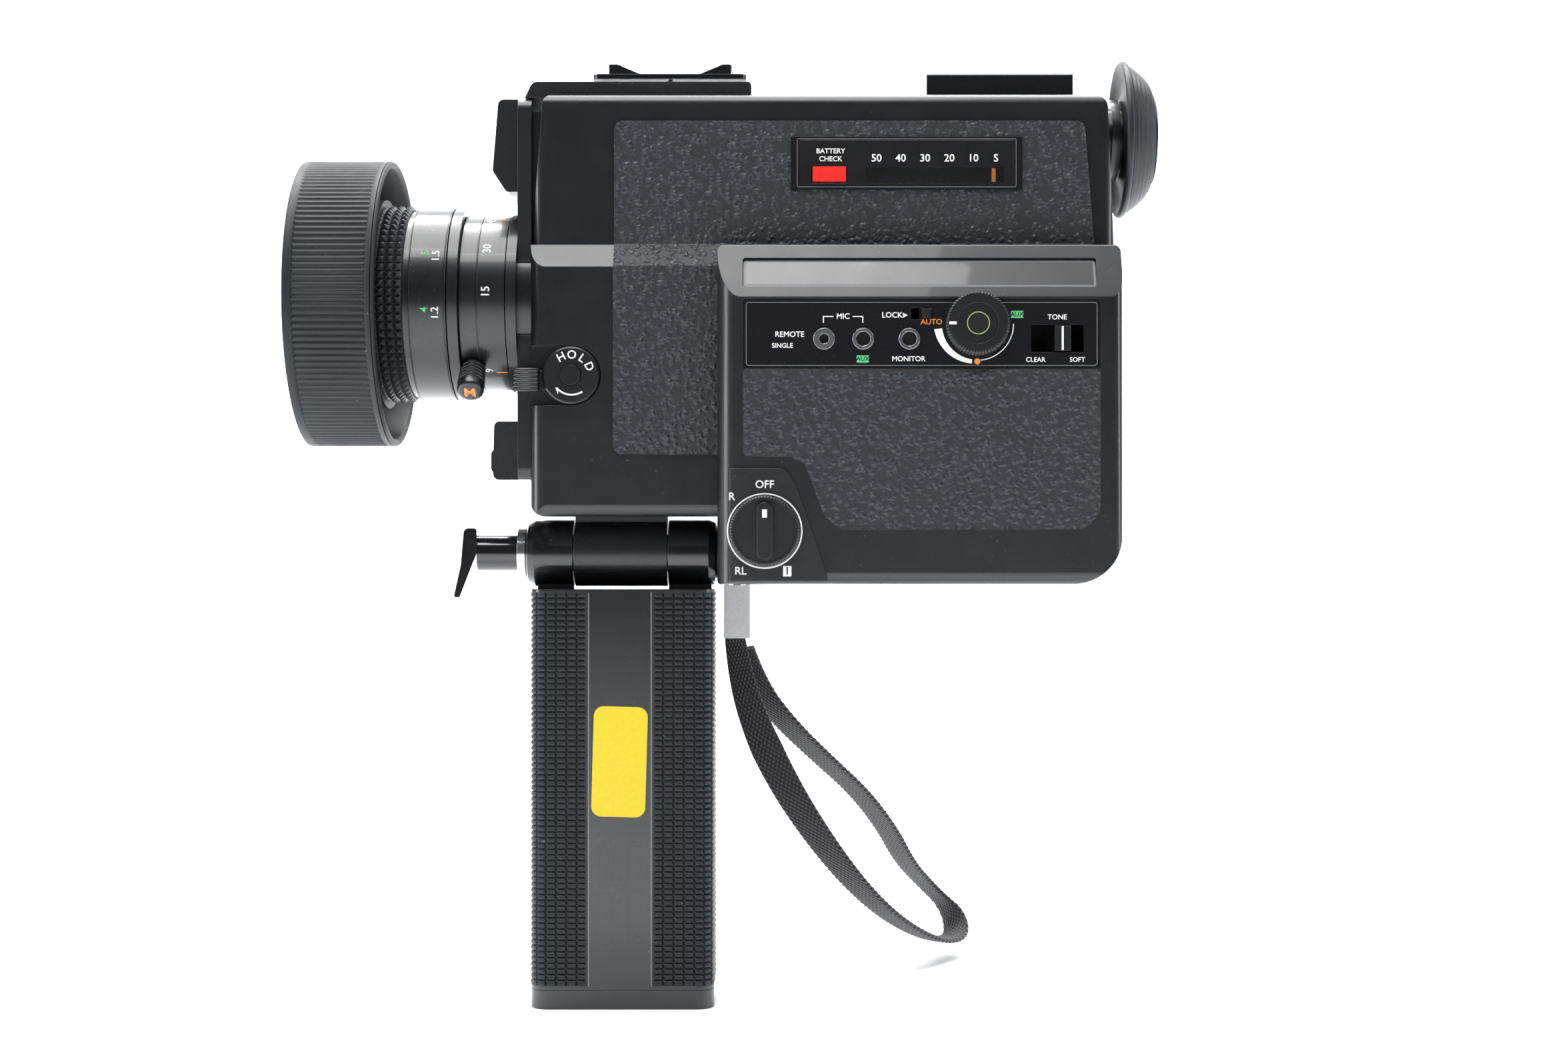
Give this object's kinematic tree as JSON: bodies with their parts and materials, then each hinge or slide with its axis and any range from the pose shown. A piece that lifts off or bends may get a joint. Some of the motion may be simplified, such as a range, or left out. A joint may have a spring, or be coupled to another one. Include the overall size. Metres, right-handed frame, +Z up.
{
  "type": "cine camera",
  "caption": "Hand-held sound cine camera with folding pistol grip, zoom lens with deep rubber hood, raised sound control box, film door, eyecup and wrist strap.",
  "frame": {"origin": "centre of the tripod socket's mouth in the underside", "axes": "+Z up, -X the way the lens points, -Y the control side, +Y the film door side"},
  "size_m": [0.222, 0.1182, 0.2477],
  "materials": {
    "accessory_shoe": "satin",
    "base_cap": "satin black",
    "batteries": "zinc plated",
    "battery_button": "red",
    "counter_bezel": "gloss black",
    "counter_needle": "orange",
    "counter_window": "clear",
    "cover_screws": "satin",
    "diopter_ring": "satin black",
    "door_hinge_pin": "satin",
    "door_latch": "satin black",
    "drive_belt": "matte",
    "drive_motor": "zinc plated",
    "exposure_button": "satin",
    "exposure_lever": "satin black",
    "eyecup": "matte rubber",
    "eyepiece_lens": "coated optical glass",
    "eyepiece_tube": "black anodised",
    "film_cartridge": "black moulded",
    "film_door": "satin black",
    "film_gate": "satin",
    "flywheel": "turned",
    "focus_grip": "matte rubber",
    "focus_ring": "black anodised",
    "foot_block": "fine matte black",
    "front_lens": "coated optical glass",
    "front_plate": "fine matte black",
    "grip_rubber": "matte rubber",
    "grip_shell": "satin black",
    "hinge_pivot": "satin",
    "jack_panel": "gloss black",
    "jack_sockets": "polished",
    "left_cover": "satin black",
    "lens_barrel": "black anodised",
    "lens_hood": "matte rubber",
    "level_knob": "satin black",
    "level_lock_slide": "satin black",
    "main_frame": "black painted die casting",
    "motor_pulley": "turned",
    "rear_lens": "coated optical glass",
    "right_cover": "satin black",
    "sensor_block": "fine matte black",
    "shutter_disc": "blackened",
    "sound_box_cover": "satin black",
    "sound_leatherette": "pebbled leatherette",
    "strap_clip": "satin",
    "strap_lug": "satin",
    "switch_dial": "satin black",
    "switch_panel": "fine matte black",
    "tone_slide": "satin black",
    "top_housing": "fine matte black",
    "trigger": "gloss black",
    "trigger_collar": "polished",
    "tripod_socket": "satin",
    "upper_leatherette": "pebbled leatherette",
    "wrist_strap": "coarse woven",
    "zoom_lever": "satin black",
    "zoom_ring": "black anodised",
    "zoom_rocker": "fine matte black",
    "zoom_rocker_plate": "fine matte black"
  },
  "bodies": {
    "body": {"main_frame": "main_frame", "left_cover": "left_cover", "right_cover": "right_cover", "front_plate": "front_plate", "sensor_block": "sensor_block", "foot_block": "foot_block", "top_housing": "top_housing", "zoom_rocker_plate": "zoom_rocker_plate", "accessory_shoe": "accessory_shoe", "upper_leatherette": "upper_leatherette", "sound_box_cover": "sound_box_cover", "sound_leatherette": "sound_leatherette", "jack_panel": "jack_panel", "jack_sockets": "jack_sockets", "switch_panel": "switch_panel", "counter_bezel": "counter_bezel", "counter_window": "counter_window", "lens_barrel": "lens_barrel", "rear_lens": "rear_lens", "eyepiece_tube": "eyepiece_tube", "eyepiece_lens": "eyepiece_lens", "eyecup": "eyecup", "film_gate": "film_gate", "film_cartridge": "film_cartridge", "drive_motor": "drive_motor", "drive_belt": "drive_belt", "door_hinge_pin": "door_hinge_pin", "hinge_pivot": "hinge_pivot", "strap_lug": "strap_lug", "strap_clip": "strap_clip", "wrist_strap": "wrist_strap", "tripod_socket": "tripod_socket", "cover_screws": "cover_screws"},
    "focus_group": {"focus_ring": "focus_ring", "focus_grip": "focus_grip", "lens_hood": "lens_hood", "front_lens": "front_lens"},
    "zoom_group": {"zoom_ring": "zoom_ring", "zoom_lever": "zoom_lever"},
    "diopter": {"diopter_ring": "diopter_ring"},
    "zoom_rocker": {"zoom_rocker": "zoom_rocker"},
    "switch_dial": {"switch_dial": "switch_dial"},
    "level_knob": {"level_knob": "level_knob"},
    "level_lock": {"level_lock_slide": "level_lock_slide"},
    "tone_slide": {"tone_slide": "tone_slide"},
    "battery_button": {"battery_button": "battery_button"},
    "counter_needle": {"counter_needle": "counter_needle"},
    "exposure_lever": {"exposure_lever": "exposure_lever"},
    "exposure_button": {"exposure_button": "exposure_button"},
    "film_door": {"film_door": "film_door"},
    "door_latch": {"door_latch": "door_latch"},
    "shutter": {"shutter_disc": "shutter_disc"},
    "flywheel": {"flywheel": "flywheel"},
    "motor_pulley": {"motor_pulley": "motor_pulley"},
    "grip": {"grip_shell": "grip_shell", "grip_rubber": "grip_rubber", "batteries": "batteries", "trigger_collar": "trigger_collar"},
    "base_cap": {"base_cap": "base_cap"},
    "trigger": {"trigger": "trigger"}
  },
  "joints": [
    {"name": "grip_fold", "type": "hinge", "parent": "body", "child": "grip", "pos_m": [-0.054, 0.003, 0.0074], "axis": [1, 0, 0], "range_deg": [0, 90]},
    {"name": "focus_turn", "type": "hinge", "parent": "body", "child": "focus_group", "pos_m": [-0.11, 0, 0.073], "axis": [1, 0, 0], "range_deg": [-110, 90]},
    {"name": "zoom_turn", "type": "hinge", "parent": "body", "child": "zoom_group", "pos_m": [-0.09, 0, 0.073], "axis": [1, 0, 0], "range_deg": [-35, 60]},
    {"name": "diopter_turn", "type": "hinge", "parent": "body", "child": "diopter", "pos_m": [0.074, 0, 0.1165], "axis": [1, 0, 0], "range_deg": [-60, 60]},
    {"name": "zoom_rocker_tilt", "type": "hinge", "parent": "body", "child": "zoom_rocker", "pos_m": [-0.0418, 0, 0.1298], "axis": [0, 1, 0], "range_deg": [-3.5, 3.5], "stiffness_Nm_per_rad": 0.3},
    {"name": "main_switch_turn", "type": "hinge", "parent": "body", "child": "switch_dial", "pos_m": [-0.0168, -0.038, 0.0134], "axis": [0, 1, 0], "range_deg": [-210, 0]},
    {"name": "level_knob_turn", "type": "hinge", "parent": "body", "child": "level_knob", "pos_m": [0.0361, -0.038, 0.0649], "axis": [0, 1, 0], "range_deg": [-190, 0]},
    {"name": "level_lock_move", "type": "slide", "parent": "body", "child": "level_lock", "axis": [1, 0, 0], "range_m": [-0.0024, 0]},
    {"name": "tone_move", "type": "slide", "parent": "body", "child": "tone_slide", "axis": [1, 0, 0], "range_m": [-0.005, 0.003]},
    {"name": "battery_check_press", "type": "slide", "parent": "body", "child": "battery_button", "axis": [0, 1, 0], "range_m": [0, 0.001], "stiffness_N_per_m": 400},
    {"name": "counter_needle_move", "type": "slide", "parent": "body", "child": "counter_needle", "axis": [1, 0, 0], "range_m": [-0.031, 0]},
    {"name": "exposure_lever_turn", "type": "hinge", "parent": "body", "child": "exposure_lever", "pos_m": [-0.0661, -0.022, 0.0529], "axis": [0, 1, 0], "range_deg": [-15, 28]},
    {"name": "exposure_button_press", "type": "slide", "parent": "exposure_lever", "child": "exposure_button", "axis": [0, 1, 0], "range_m": [0, 0.001], "stiffness_N_per_m": 400},
    {"name": "film_door_swing", "type": "hinge", "parent": "body", "child": "film_door", "pos_m": [-0.0303, 0.0266, 0.069], "axis": [0, 0, 1], "range_deg": [0, 85]},
    {"name": "door_latch_slide", "type": "slide", "parent": "film_door", "child": "door_latch", "axis": [0, 0, -1], "range_m": [0, 0.004], "stiffness_N_per_m": 200},
    {"name": "shutter_spin", "type": "hinge", "parent": "body", "child": "shutter", "pos_m": [-0.029, 0.0015, 0.086], "axis": [1, 0, 0], "continuous": true},
    {"name": "flywheel_spin", "type": "hinge", "parent": "body", "child": "flywheel", "pos_m": [-0.006, -0.011, 0.028], "axis": [0, 1, 0], "continuous": true},
    {"name": "motor_pulley_spin", "type": "hinge", "parent": "body", "child": "motor_pulley", "pos_m": [0.034, -0.011, 0.028], "axis": [0, 1, 0], "continuous": true},
    {"name": "trigger_pull", "type": "slide", "parent": "grip", "child": "trigger", "axis": [1, 0, 0], "range_m": [0, 0.0035], "stiffness_N_per_m": 500},
    {"name": "base_cap_swing", "type": "hinge", "parent": "grip", "child": "base_cap", "pos_m": [-0.0301, 0, -0.1057], "axis": [0, -1, 0], "range_deg": [0, 100]}
  ],
  "couplings": [
    {"joint": "motor_pulley_spin", "follows": "flywheel_spin", "ratio": 5.6667}
  ]
}
